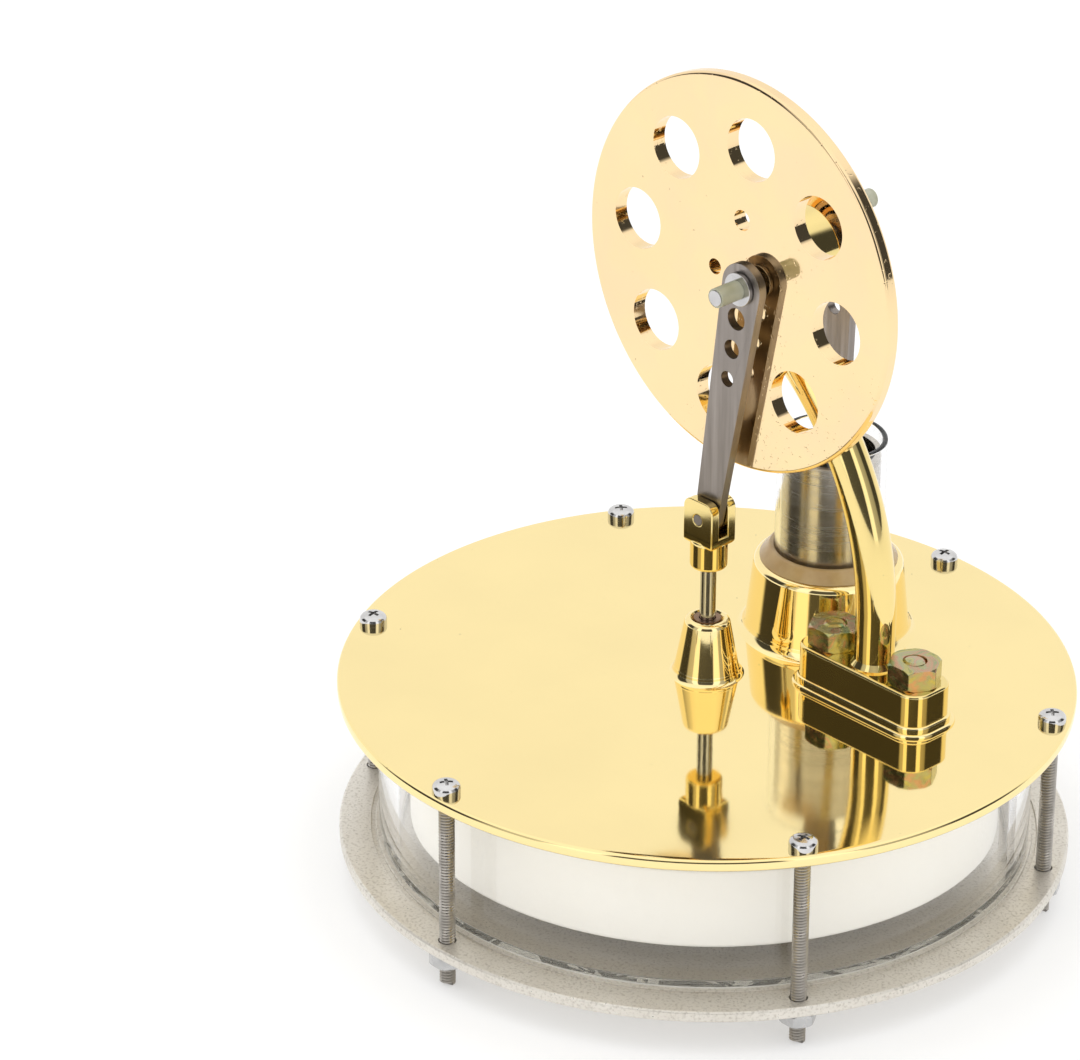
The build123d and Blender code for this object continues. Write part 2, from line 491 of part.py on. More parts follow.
def displacer_line():
    """The displacer's crank pin with its washers and sleeve, its rod, clevis, guide rod and foam disc."""
    x, z = DISPLACER_PIN_X, CRANK_Z
    outer_washer_back = -FRONT_WASHER_Y
    outer_washer_front = outer_washer_back - DISPLACER_WASHER_THICKNESS
    sleeve_front = outer_washer_front - DISPLACER_SLEEVE_LENGTH
    write("displacer_crank_pin", lying(CRANK_PIN_RADIUS, sleeve_front - PIN_END_PROUD,
                                       FLYWHEEL_Y - FACE_GAP, x, z))
    write("displacer_inner_washer", lying_tube(WASHER_RADIUS, CRANK_PIN_RADIUS, FRONT_WASHER_Y,
                                               FRONT_WASHER_Y + DISPLACER_WASHER_THICKNESS, x, z))
    write("displacer_outer_washer", lying_tube(WASHER_RADIUS, CRANK_PIN_RADIUS, outer_washer_front,
                                               outer_washer_back, x, z))
    write("displacer_pin_sleeve", lying_tube(SLEEVE_RADIUS, CRANK_PIN_RADIUS, sleeve_front,
                                             outer_washer_front, x, z))
    write("displacer_conrod", connecting_rod((x, z), (0, CLEVIS_PIN_Z), DISPLACER_SMALL_END_RADIUS,
                                             CLEVIS_PIN_RADIUS, 0))

    fork_height = CLEVIS_ABOVE_PIN + CLEVIS_BELOW_PIN
    fork = Box(CLEVIS_WIDTH, CLEVIS_DEPTH, fork_height)
    fork = chamfer(fork.edges().filter_by(Axis.Y) + fork.edges().filter_by(Axis.Z),
                   CLEVIS_EDGE_CHAMFER)
    fork = Pos(0, 0, CLEVIS_PIN_Z + (CLEVIS_ABOVE_PIN - CLEVIS_BELOW_PIN) / 2) * fork
    collar_top = CLEVIS_PIN_Z - CLEVIS_BELOW_PIN
    collar = upright(COLLAR_RADIUS, collar_top - COLLAR_HEIGHT, collar_top)
    collar = fillet(collar.edges().group_by(Axis.Z)[0], COLLAR_EDGE_ROUND)
    slot_bottom = CLEVIS_PIN_Z - CLEVIS_SLOT_BELOW_PIN
    slot_height = CLEVIS_ABOVE_PIN + CLEVIS_SLOT_BELOW_PIN
    slot = Pos(0, 0, slot_bottom + slot_height / 2) * Box(
        CLEVIS_WIDTH, CONROD_THICKNESS + 2 * CLEVIS_SLOT_CLEARANCE, slot_height)
    clevis = fork + collar - slot
    clevis -= lying(CLEVIS_PIN_RADIUS, -CLEVIS_DEPTH / 2, CLEVIS_DEPTH / 2, 0, CLEVIS_PIN_Z)
    rod_top = collar_top - COLLAR_HEIGHT + ROD_IN_CLEVIS
    clevis -= upright(ROD_RADIUS, collar_top - COLLAR_HEIGHT, rod_top)
    write("clevis", clevis)
    write("clevis_pin", lying(CLEVIS_PIN_RADIUS, -CLEVIS_DEPTH / 2, CLEVIS_DEPTH / 2, 0, CLEVIS_PIN_Z))

    nut_z = DISPLACER_Z + HUB_POCKET_DEPTH - HUB_NUT_HEIGHT
    write("displacer_rod", upright(ROD_RADIUS, nut_z, rod_top))
    disc = upright(DISPLACER_RADIUS, DISPLACER_Z, DISPLACER_TOP_Z)
    disc = fillet(disc.edges().filter_by(GeomType.CIRCLE), DISPLACER_EDGE_ROUND)
    disc -= upright(ROD_RADIUS, DISPLACER_Z, DISPLACER_TOP_Z)
    disc -= upright(HUB_POCKET_RADIUS, DISPLACER_Z, DISPLACER_Z + HUB_POCKET_DEPTH)
    write("displacer", disc)
    write("displacer_hub_washer", upright_tube(HUB_WASHER_RADIUS, ROD_RADIUS, DISPLACER_TOP_Z,
                                               DISPLACER_TOP_Z + HUB_WASHER_THICKNESS))
    write("displacer_hub_nut", hex_nut(HUB_NUT_FLATS, ROD_RADIUS, nut_z, HUB_NUT_HEIGHT, 0, 0))


def power_cylinder():
    """The glass tube glued into its boss."""
    tube = upright_tube(TUBE_RADIUS, TUBE_BORE_RADIUS, TUBE_Z, TUBE_Z + TUBE_LENGTH, CRANK_X, PISTON_Y)
    tube = fillet(tube.edges().group_by(Axis.Z)[-1], TUBE_EDGE_ROUND)
    write("glass_cylinder", tube)
    glue = upright_cone(GLUE_BASE_RADIUS, GLUE_TOP_RADIUS, BOSS_TOP_Z, GLUE_HEIGHT, CRANK_X, PISTON_Y)
    glue -= upright(TUBE_RADIUS, BOSS_TOP_Z, BOSS_TOP_Z + GLUE_HEIGHT, CRANK_X, PISTON_Y)
    write("cylinder_glue", glue)


def piston_line():
    """The piston's crank pin with its washers and sleeve, its rod, the hollow piston and its wrist pin."""
    x, z = CRANK_X, PISTON_PIN_Z
    inner_washer_back = PISTON_Y - HALF_ROD - FACE_GAP
    outer_washer_front = PISTON_Y + HALF_ROD + FACE_GAP
    outer_washer_back = outer_washer_front + PISTON_OUTER_WASHER_THICKNESS
    sleeve_front = outer_washer_back + PISTON_BARE_PIN
    sleeve_back = sleeve_front + PISTON_SLEEVE_LENGTH
    write("piston_crank_pin", lying(CRANK_PIN_RADIUS, DISC_BACK_Y + FACE_GAP,
                                    sleeve_back + PIN_END_PROUD, x, z))
    write("piston_inner_washer", lying_tube(WASHER_RADIUS, CRANK_PIN_RADIUS,
                                            inner_washer_back - PISTON_INNER_WASHER_THICKNESS,
                                            inner_washer_back, x, z))
    write("piston_outer_washer", lying_tube(WASHER_RADIUS, CRANK_PIN_RADIUS, outer_washer_front,
                                            outer_washer_back, x, z))
    write("piston_pin_sleeve", lying_tube(SLEEVE_RADIUS, CRANK_PIN_RADIUS, sleeve_front, sleeve_back,
                                          x, z))
    write("piston_conrod", connecting_rod((x, z), (x, WRIST_PIN_Z), PISTON_SMALL_END_RADIUS,
                                          WRIST_PIN_RADIUS, PISTON_Y))

    radius = TUBE_BORE_RADIUS - PISTON_CLEARANCE
    bottom = PISTON_TOP_Z - PISTON_LENGTH
    piston = upright(radius, bottom, PISTON_TOP_Z, x, PISTON_Y)
    piston -= upright(radius - PISTON_WALL, bottom + PISTON_FLOOR, PISTON_TOP_Z, x, PISTON_Y)
    pin_half = radius - WRIST_PIN_INSET
    pin = lying(WRIST_PIN_RADIUS, PISTON_Y - pin_half, PISTON_Y + pin_half, x, WRIST_PIN_Z)
    write("piston", piston - lying(WRIST_PIN_RADIUS, PISTON_Y - radius, PISTON_Y + radius, x, WRIST_PIN_Z))
    write("wrist_pin", pin)


chamber()
chamber_screws()
column()
bearing("front_bearing", FRONT_BEARING_Y, True)
bearing("rear_bearing", REAR_BEARING_Y, False)
crank()
displacer_line()
power_cylinder()
piston_line()
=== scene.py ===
import json
from math import atan2, cos, pi, radians, sin

import bmesh
import bpy
from mathutils import Matrix, Quaternion, Vector


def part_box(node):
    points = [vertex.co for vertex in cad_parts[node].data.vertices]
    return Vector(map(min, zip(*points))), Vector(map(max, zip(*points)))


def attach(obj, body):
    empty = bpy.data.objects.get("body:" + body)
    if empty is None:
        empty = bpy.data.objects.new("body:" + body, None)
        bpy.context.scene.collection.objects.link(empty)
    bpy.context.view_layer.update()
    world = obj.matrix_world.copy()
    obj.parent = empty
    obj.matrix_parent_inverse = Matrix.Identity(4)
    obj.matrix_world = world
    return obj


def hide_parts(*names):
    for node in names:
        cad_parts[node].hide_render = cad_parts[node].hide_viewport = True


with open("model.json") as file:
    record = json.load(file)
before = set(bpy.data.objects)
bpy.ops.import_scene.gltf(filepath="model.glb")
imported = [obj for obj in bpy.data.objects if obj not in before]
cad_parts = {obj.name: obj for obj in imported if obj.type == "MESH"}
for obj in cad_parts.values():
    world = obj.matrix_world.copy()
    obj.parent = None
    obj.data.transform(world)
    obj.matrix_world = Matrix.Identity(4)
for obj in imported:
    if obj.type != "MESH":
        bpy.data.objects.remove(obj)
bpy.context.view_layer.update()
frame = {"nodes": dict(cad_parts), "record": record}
MM = 0.001

BODY_OF = {node: body for body, nodes in frame["record"]["behaviour"]["bodies"].items() for node in nodes}


# ---- places read from the frame ----

def middle_of(node):
    """The middle of a node's box."""
    low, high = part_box(node)
    return (low + high) / 2


def size_of(node):
    """The three sides of a node's box."""
    low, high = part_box(node)
    return high - low


HEAD_HEIGHT = 1.4 * MM
DECK_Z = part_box("chamber_screw_1")[1].z - HEAD_HEIGHT
SHAFT = middle_of("crankshaft")
CYLINDER = middle_of("glass_cylinder")


# ---- camera ----

CAMERA_AZIMUTH = radians(44.47)
CAMERA_ELEVATION = radians(27.21)
CAMERA_DISTANCE = 0.59006
CAMERA_LENS = 160.0
CAMERA_LEAN = radians(1.2)
AIM_HEIGHT = 44.48 * MM
AIM_SIDE = -0.37 * MM
AIM_RIGHT = 0.03458
AIM_DOWN = 0.00312


def add_camera():
    """A long lens that looks down on the engine from the front right, with room on the left."""
    data = bpy.data.cameras.new("camera")
    data.lens = CAMERA_LENS
    data.sensor_width = 36
    data.clip_start = 0.01
    camera = bpy.data.objects.new("camera", data)
    bpy.context.scene.collection.objects.link(camera)
    back = Vector((sin(CAMERA_AZIMUTH) * cos(CAMERA_ELEVATION), -cos(CAMERA_AZIMUTH) * cos(CAMERA_ELEVATION),
                   sin(CAMERA_ELEVATION)))
    side = Vector((cos(CAMERA_AZIMUTH), sin(CAMERA_AZIMUTH), 0))
    camera.location = Vector((0, 0, AIM_HEIGHT)) + side * AIM_SIDE + back * CAMERA_DISTANCE
    straight = (-back).to_track_quat("-Z", "Y")
    lean = Quaternion((0, 0, 1), CAMERA_LEAN)
    aside = Vector((0, 0, -1)).rotation_difference(Vector((AIM_RIGHT, -AIM_DOWN, -1)))
    camera.rotation_mode = "QUATERNION"
    camera.rotation_quaternion = straight @ lean @ aside.inverted()
    bpy.context.scene.camera = camera


# ---- studio ----

def fill_ramp(ramp, stops):
    """Sets a colour ramp's stops, given in rising order."""
    ramp.elements[0].position = stops[0][0]
    ramp.elements[1].position = stops[-1][0]
    ramp.elements[0].color = (*stops[0][1], 1)
    ramp.elements[1].color = (*stops[-1][1], 1)
    for position, colour in stops[1:-1]:
        ramp.elements.new(position).color = (*colour, 1)


def add_studio():
    """A pale floor, a pale backdrop that mirrors don't see, soft boxes with dark gaps between them, and a top light."""
    scene = bpy.context.scene
    scene.view_settings.view_transform = "Standard"
    world = bpy.data.worlds.new("studio")
    scene.world = world
    world.use_nodes = True
    tree = world.node_tree
    tree.nodes.clear()
    place = tree.nodes.new("ShaderNodeTexCoord")
    split = tree.nodes.new("ShaderNodeSeparateXYZ")
    tree.links.new(place.outputs["Generated"], split.inputs[0])
    turn = tree.nodes.new("ShaderNodeMath")
    turn.operation = "ARCTAN2"
    tree.links.new(split.outputs["Y"], turn.inputs[0])
    tree.links.new(split.outputs["X"], turn.inputs[1])
    share = tree.nodes.new("ShaderNodeMapRange")
    share.inputs["From Min"].default_value = -pi
    share.inputs["From Max"].default_value = pi
    tree.links.new(turn.outputs[0], share.inputs["Value"])
    boxes = tree.nodes.new("ShaderNodeValToRGB")
    boxes.color_ramp.interpolation = "EASE"
    # Bearings from the camera's side of the room, each with how bright the room is there.
    bearings = [(-179, 1.0), (-112, 1.0), (-104, 0.06), (-74, 0.05), (-66, 0.55), (-50, 0.6), (-45, 1.3),
                (-30, 1.3), (-26, 0.1), (22, 0.08), (27, 1.3), (44, 1.3), (50, 0.5), (72, 0.4), (80, 0.06),
                (102, 0.06), (110, 1.0), (179, 1.0)]
    camera_bearing = atan2(-cos(CAMERA_AZIMUTH), sin(CAMERA_AZIMUTH))
    stops = sorted(((((camera_bearing + radians(angle)) / (2 * pi)) + 0.5) % 1.0, level) for angle, level in bearings)
    fill_ramp(boxes.color_ramp, [(position, (level, level, level)) for position, level in stops])
    tree.links.new(share.outputs["Result"], boxes.inputs["Fac"])
    height = tree.nodes.new("ShaderNodeMapRange")
    height.inputs["From Min"].default_value = 0.62
    height.inputs["From Max"].default_value = 0.75
    tree.links.new(split.outputs["Z"], height.inputs["Value"])
    mix = tree.nodes.new("ShaderNodeMix")
    mix.data_type = "RGBA"
    tree.links.new(height.outputs["Result"], mix.inputs["Factor"])
    tree.links.new(boxes.outputs["Color"], mix.inputs[6])
    mix.inputs[7].default_value = (1.12, 1.12, 1.12, 1)
    ray = tree.nodes.new("ShaderNodeLightPath")
    even = tree.nodes.new("ShaderNodeMix")
    even.data_type = "RGBA"
    even.inputs[7].default_value = (1.0, 1.0, 1.0, 1)
    tree.links.new(ray.outputs["Is Diffuse Ray"], even.inputs["Factor"])
    tree.links.new(mix.outputs[2], even.inputs[6])
    background = tree.nodes.new("ShaderNodeBackground")
    tree.links.new(even.outputs[2], background.inputs["Color"])
    background.inputs["Strength"].default_value = 1.0
    output = tree.nodes.new("ShaderNodeOutputWorld")
    tree.links.new(background.outputs[0], output.inputs["Surface"])

    pale = bpy.data.materials.new("studio_floor")
    pale.use_nodes = True
    shader = pale.node_tree.nodes["Principled BSDF"]
    shader.inputs["Base Color"].default_value = (0.62, 0.62, 0.62, 1)
    shader.inputs["Roughness"].default_value = 0.7
    shader.inputs["Specular IOR Level"].default_value = 0.2
    shader.inputs["Emission Color"].default_value = (1, 1, 1, 1)
    shader.inputs["Emission Strength"].default_value = 0.38
    floor_mesh = bmesh.new()
    bmesh.ops.create_circle(floor_mesh, cap_ends=True, radius=6, segments=96)
    floor = piece_from("studio_floor", floor_mesh, pale)
    wall_mesh = bmesh.new()
    bmesh.ops.create_uvsphere(wall_mesh, u_segments=48, v_segments=24, radius=5.9)
    plain = bpy.data.materials.new("studio_backdrop")
    plain.use_nodes = True
    glow = plain.node_tree.nodes["Principled BSDF"]
    glow.inputs["Base Color"].default_value = (0, 0, 0, 1)
    glow.inputs["Emission Color"].default_value = (1, 1, 1, 1)
    glow.inputs["Emission Strength"].default_value = 1.0
    wall = piece_from("studio_backdrop", wall_mesh, plain)
    wall.visible_glossy = False
    wall.visible_diffuse = False
    wall.visible_shadow = False

    for name, position, extent, power in (("top_light", (0.1, -0.1, 0.9), 0.7, 1.5),
                                          ("left_light", (-0.7, -0.5, 0.6), 0.5, 0.8)):
        light = bpy.data.lights.new(name, "AREA")
        light.size = extent
        light.energy = power
        lamp = bpy.data.objects.new(name, light)
        lamp.location = position
        lamp.rotation_euler = (Vector((0, 0, 0.03)) - Vector(position)).to_track_quat("-Z", "Y").to_euler()
        lamp.visible_glossy = False
        bpy.context.scene.collection.objects.link(lamp)


# ---- making pieces ----

SMALL_TO_LARGE = 6.0
SHARP_ANGLE = radians(32)
SAME_PLANE_ANGLE = radians(1.5)


def keep_flats_flat(shape):
    """Smooth shading, broken at corners and where a large face meets the small faces of a rounding."""
    for face in shape.faces:
        face.smooth = True
    for edge in shape.edges:
        if len(edge.link_faces) != 2:
            continue
        areas = sorted(face.calc_area() for face in edge.link_faces)
        turn = edge.calc_face_angle(0)
        edge.smooth = turn < SHARP_ANGLE and (turn < SAME_PLANE_ANGLE or areas[1] < areas[0] * SMALL_TO_LARGE)


def piece_from(name, mesh_in_hand, material):
    """Turns a bmesh into an object with its material, smooth except at its edges."""
    mesh = bpy.data.meshes.new(name)
    keep_flats_flat(mesh_in_hand)
    mesh_in_hand.to_mesh(mesh)
    mesh_in_hand.free()
    mesh.materials.append(material)
    piece = bpy.data.objects.new(name, mesh)
    bpy.context.scene.collection.objects.link(piece)
    return piece


def stand_for(piece, *nodes):
    """The piece takes the place of these CAD nodes and moves with them."""
    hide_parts(*nodes)
    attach(piece, BODY_OF[nodes[0]])
    return piece


def soften(piece, width, segments=2):
    """Rounds the sharp edges a little, as tumbling or polishing does."""
    bevel = piece.modifiers.new("worn_edges", "BEVEL")
    bevel.width = width
    bevel.segments = segments
    bevel.limit_method = "ANGLE"
    bevel.angle_limit = SHARP_ANGLE
    bevel.harden_normals = True
    return piece


def merged_copy(node):
    """A bmesh of a CAD node with its loose triangles joined."""
    shape = bmesh.new()
    shape.from_mesh(frame["nodes"][node].data)
    bmesh.ops.remove_doubles(shape, verts=shape.verts, dist=1e-6)
    bmesh.ops.dissolve_limit(shape, angle_limit=radians(0.4), verts=shape.verts, edges=shape.edges)
    return shape


def same_shape(node, material, edge=0.06 * MM, segments=2):
    """The CAD node's own shape with softened edges."""
    piece = piece_from(node + "_finished", merged_copy(node), material)
    if edge:
        soften(piece, edge, segments)
    return stand_for(piece, node)


def turn_profile(points, steps, closed, centre=(0, 0, 0), along="Z"):
    """Spins an outline of (radius, height) points about an upright or a lying axis."""
    shape = bmesh.new()
    corners = []
    for radius, height in points:
        if along == "Z":
            place = (centre[0] + radius, centre[1], height)
        else:
            place = (centre[0] + radius, height, centre[2])
        corners.append(shape.verts.new(place))
    edges = [shape.edges.new(pair) for pair in zip(corners, corners[1:])]
    if closed:
        edges.append(shape.edges.new((corners[-1], corners[0])))
    axis = (0, 0, 1) if along == "Z" else (0, 1, 0)
    bmesh.ops.spin(shape, geom=corners + edges, cent=centre, axis=axis, angle=2 * pi, steps=steps,
                   use_merge=True)
    bmesh.ops.remove_doubles(shape, verts=shape.verts, dist=1e-7)
    bmesh.ops.recalc_face_normals(shape, faces=shape.faces)
    return shape


# ---- finishes ----

def finish_material(name, colour, metal, rough):
    """A new material with its first colour, metal and roughness."""
    material = bpy.data.materials.new(name)
    material.use_nodes = True
    shader = material.node_tree.nodes["Principled BSDF"]
    shader.inputs["Base Color"].default_value = (*colour, 1)
    shader.inputs["Metallic"].default_value = metal
    shader.inputs["Roughness"].default_value = rough
    return material, material.node_tree, shader


def grain(tree, scale, detail=4.0, stretch=(1, 1, 1), distortion=0.0, spin=(0, 0, 0)):
    """Noise on the piece's own coordinates; stretch below 1 along an axis draws it out that way."""
    place = tree.nodes.new("ShaderNodeTexCoord")
    shift = tree.nodes.new("ShaderNodeMapping")
    shift.vector_type = "TEXTURE"
    shift.inputs["Rotation"].default_value = spin
    shift.inputs["Scale"].default_value = tuple(1 / value for value in stretch)
    tree.links.new(place.outputs["Object"], shift.inputs["Vector"])
    noise = tree.nodes.new("ShaderNodeTexNoise")
    noise.inputs["Scale"].default_value = scale
    noise.inputs["Detail"].default_value = detail
    noise.inputs["Distortion"].default_value = distortion
    tree.links.new(shift.outputs[0], noise.inputs["Vector"])
    return noise.outputs["Fac"]


def rings(tree, centre, axes, scale, detail=3.0):
    """Noise that depends only on the distance from an axis, as a lathe leaves it."""
    place = tree.nodes.new("ShaderNodeTexCoord")
    shift = tree.nodes.new("ShaderNodeMapping")
    shift.vector_type = "TEXTURE"
    shift.inputs["Location"].default_value = centre
    tree.links.new(place.outputs["Object"], shift.inputs["Vector"])
    flat = tree.nodes.new("ShaderNodeVectorMath")
    flat.operation = "MULTIPLY"
    flat.inputs[1].default_value = axes
    tree.links.new(shift.outputs[0], flat.inputs[0])
    reach = tree.nodes.new("ShaderNodeVectorMath")
    reach.operation = "LENGTH"
    tree.links.new(flat.outputs[0], reach.inputs[0])
    noise = tree.nodes.new("ShaderNodeTexNoise")
    noise.noise_dimensions = "1D"
    noise.inputs["Scale"].default_value = scale
    noise.inputs["Detail"].default_value = detail
    tree.links.new(reach.outputs["Value"], noise.inputs["W"])
    return noise.outputs["Fac"]


def between(tree, source, low, high, low_value, high_value):
    """Stretches a span of one value onto a span of another."""
    span = tree.nodes.new("ShaderNodeMapRange")
    span.inputs["From Min"].default_value = low
    span.inputs["From Max"].default_value = high
    span.inputs["To Min"].default_value = low_value
    span.inputs["To Max"].default_value = high_value
    tree.links.new(source, span.inputs["Value"])
    return span.outputs["Result"]


def blend_colours(tree, share, first, second):
    """Mixes two colours, each a fixed colour or another node's."""
    mix = tree.nodes.new("ShaderNodeMix")
    mix.data_type = "RGBA"
    tree.links.new(share, mix.inputs["Factor"])
    for socket, colour in ((mix.inputs[6], first), (mix.inputs[7], second)):
        if isinstance(colour, tuple):
            socket.default_value = (*colour, 1)
        else:
            tree.links.new(colour, socket)
    return mix.outputs[2]


def add_bump(tree, shader, source, strength, depth):
    """Bumps stack: each new one is laid over those already there."""
    bump = tree.nodes.new("ShaderNodeBump")
    bump.inputs["Strength"].default_value = strength
    bump.inputs["Distance"].default_value = depth
    tree.links.new(source, bump.inputs["Height"])
    if shader.inputs["Normal"].is_linked:
        tree.links.new(shader.inputs["Normal"].links[0].from_socket, bump.inputs["Normal"])
    tree.links.new(bump.outputs["Normal"], shader.inputs["Normal"])


GOLD = (1.0, 0.815, 0.40)
GOLD_DEEP = (0.91, 0.72, 0.30)


def polished_gold(name, colour=GOLD, rough=0.05, scratch=0.25, bloom=0.0):
    """Gold plate over polished brass: faint polishing scratches, handling haze and a few specks."""
    material, tree, shader = finish_material(name, colour, 1.0, rough)
    haze = grain(tree, 60, detail=3)
    fine = grain(tree, 900, detail=2, stretch=(1, 0.06, 1), spin=(0, 0, radians(31)))
    across = grain(tree, 1100, detail=2, stretch=(0.05, 1, 1), spin=(0, 0, radians(-17)))
    tree.links.new(between(tree, haze, 0.3, 0.75, rough * 0.7, rough * 2.0), shader.inputs["Roughness"])
    speck = between(tree, grain(tree, 1300, detail=1), 0.80, 0.83, 0.0, 0.8)
    tint = blend_colours(tree, between(tree, haze, 0.35, 0.7, 0, 1), colour,
                         tuple(value * 0.965 for value in colour))
    tree.links.new(blend_colours(tree, speck, tint, tuple(value * 0.5 for value in colour)),
                   shader.inputs["Base Color"])
    if bloom:
        mist = between(tree, grain(tree, 130, detail=4, distortion=0.6), 0.42, 0.72, 0.0, bloom)
        before = shader.inputs["Base Color"].links[0].from_socket
        tree.links.new(blend_colours(tree, mist, before, (0.95, 0.66, 0.46)), shader.inputs["Base Color"])
        add_bump(tree, shader, between(tree, grain(tree, 1500, detail=2), 0.30, 0.36, 0.0, 1.0), 0.5, 0.02 * MM)
    add_bump(tree, shader, fine, scratch, 0.004 * MM)
    add_bump(tree, shader, across, scratch, 0.004 * MM)
    return material


def brushed_steel(name, colour, rough, stretch, strength=0.35):
    """Drawn or turned steel: lines one way, with cloudy wear over them."""
    material, tree, shader = finish_material(name, colour, 1.0, rough)
    lines = grain(tree, 1400, detail=3, stretch=stretch)
    cloud = grain(tree, 120, detail=3)
    tree.links.new(between(tree, lines, 0.3, 0.7, rough * 0.75, rough * 1.3), shader.inputs["Roughness"])
    worn = blend_colours(tree, between(tree, cloud, 0.35, 0.65, 0, 1), colour,
                         tuple(value * 0.85 for value in colour))
    tree.links.new(blend_colours(tree, between(tree, lines, 0.35, 0.65, 0, 1), worn,
                                 tuple(value * 0.8 for value in colour)), shader.inputs["Base Color"])
    add_bump(tree, shader, lines, strength, 0.01 * MM)
    return material


def bright_steel(name, colour=(0.62, 0.61, 0.61), rough=0.14):
    """Plated or ground steel with small stains."""
    material, tree, shader = finish_material(name, colour, 1.0, rough)
    cloud = grain(tree, 500, detail=4)
    tree.links.new(between(tree, cloud, 0.3, 0.7, rough * 0.6, rough * 1.7), shader.inputs["Roughness"])
    tree.links.new(blend_colours(tree, between(tree, cloud, 0.3, 0.7, 0, 1), colour,
                                 tuple(value * 0.82 for value in colour)), shader.inputs["Base Color"])
    add_bump(tree, shader, cloud, 0.15, 0.01 * MM)
    return material


def yellow_zinc(name):
    """Passivated zinc: olive and yellow with pink and green bands."""
    colour = (0.62, 0.60, 0.30)
    material, tree, shader = finish_material(name, colour, 1.0, 0.2)
    bands = grain(tree, 260, detail=2, distortion=1.5)
    ramp = tree.nodes.new("ShaderNodeValToRGB")
    stops = [(0.30, (0.24, 0.30, 0.14)), (0.42, (0.52, 0.46, 0.17)), (0.50, (0.42, 0.42, 0.24)),
             (0.58, (0.58, 0.34, 0.22)), (0.70, (0.32, 0.38, 0.20))]
    fill_ramp(ramp.color_ramp, stops)
    tree.links.new(bands, ramp.inputs["Fac"])
    tree.links.new(ramp.outputs["Color"], shader.inputs["Base Color"])
    tree.links.new(between(tree, grain(tree, 900), 0.3, 0.7, 0.12, 0.32), shader.inputs["Roughness"])
    return material


def turned_aluminium(name):
    """Sawn and faced sheet: bright grain, lathe rings and dark specks."""
    colour = (0.79, 0.755, 0.69)
    material, tree, shader = finish_material(name, colour, 0.6, 0.38)
    specks = grain(tree, 2600, detail=3)
    circles = rings(tree, (0, 0, 0), (1, 1, 0), 3000)
    cloud = grain(tree, 90, detail=5)
    tree.links.new(between(tree, specks, 0.25, 0.75, 0.25, 0.55), shader.inputs["Roughness"])
    base = blend_colours(tree, between(tree, cloud, 0.35, 0.65, 0, 1), colour, (0.72, 0.68, 0.61))
    tree.links.new(blend_colours(tree, between(tree, specks, 0.5, 0.75, 0, 1), base, (0.54, 0.50, 0.44)),
                   shader.inputs["Base Color"])
    add_bump(tree, shader, circles, 0.35, 0.02 * MM)
    add_bump(tree, shader, specks, 0.5, 0.03 * MM)
    return material


def clear(name, ior, tint=(1.0, 1.0, 1.0), rough=0.0):
    """Clear acrylic or glass with faint smears; lamps and soft light pass straight through it."""
    material, tree, shader = finish_material(name, tint, 0.0, rough)
    shader.inputs["Transmission Weight"].default_value = 1.0
    shader.inputs["IOR"].default_value = ior
    smears = grain(tree, 140, detail=3, stretch=(1, 1, 0.3))
    tree.links.new(between(tree, smears, 0.45, 0.8, rough, rough + 0.04), shader.inputs["Roughness"])
    ray = tree.nodes.new("ShaderNodeLightPath")
    passing = tree.nodes.new("ShaderNodeMath")
    passing.operation = "MAXIMUM"
    tree.links.new(ray.outputs["Is Shadow Ray"], passing.inputs[0])
    tree.links.new(ray.outputs["Is Diffuse Ray"], passing.inputs[1])
    through = tree.nodes.new("ShaderNodeBsdfTransparent")
    through.inputs["Color"].default_value = (*tint, 1)
    choose = tree.nodes.new("ShaderNodeMixShader")
    tree.links.new(passing.outputs[0], choose.inputs["Fac"])
    tree.links.new(shader.outputs[0], choose.inputs[1])
    tree.links.new(through.outputs[0], choose.inputs[2])
    tree.links.new(choose.outputs[0], tree.nodes["Material Output"].inputs["Surface"])
    return material


def foam(name):
    """Closed-cell foam: fine pitted cells, slightly cream."""
    material, tree, shader = finish_material(name, (0.95, 0.92, 0.85), 0.0, 0.85)
    cells = grain(tree, 1600, detail=2)
    cloud = grain(tree, 70, detail=3)
    shader.inputs["Specular IOR Level"].default_value = 0.25
    tree.links.new(blend_colours(tree, between(tree, cloud, 0.3, 0.7, 0, 1), (1.0, 0.975, 0.90),
                                 (0.97, 0.94, 0.86)), shader.inputs["Base Color"])
    add_bump(tree, shader, cells, 0.6, 0.08 * MM)
    return material


def amber_glue(name):
    """Cloudy amber resin, a little see-through."""
    material, tree, shader = finish_material(name, (0.50, 0.30, 0.10), 0.0, 0.25)
    shader.inputs["Transmission Weight"].default_value = 0.35
    shader.inputs["IOR"].default_value = 1.5
    cloud = grain(tree, 300, detail=3)
    tree.links.new(blend_colours(tree, between(tree, cloud, 0.3, 0.7, 0, 1), (0.78, 0.56, 0.26),
                                 (0.60, 0.39, 0.15)), shader.inputs["Base Color"])
    add_bump(tree, shader, cloud, 0.4, 0.15 * MM)
    return material


def milky_tube(name):
    """Cloudy plastic sleeve."""
    material, tree, shader = finish_material(name, (0.70, 0.70, 0.52), 0.0, 0.3)
    shader.inputs["Transmission Weight"].default_value = 0.45
    shader.inputs["IOR"].default_value = 1.45
    cloud = grain(tree, 500, detail=2)
    tree.links.new(blend_colours(tree, between(tree, cloud, 0.3, 0.7, 0, 1), (0.74, 0.74, 0.58),
                                 (0.58, 0.58, 0.40)), shader.inputs["Base Color"])
    return material


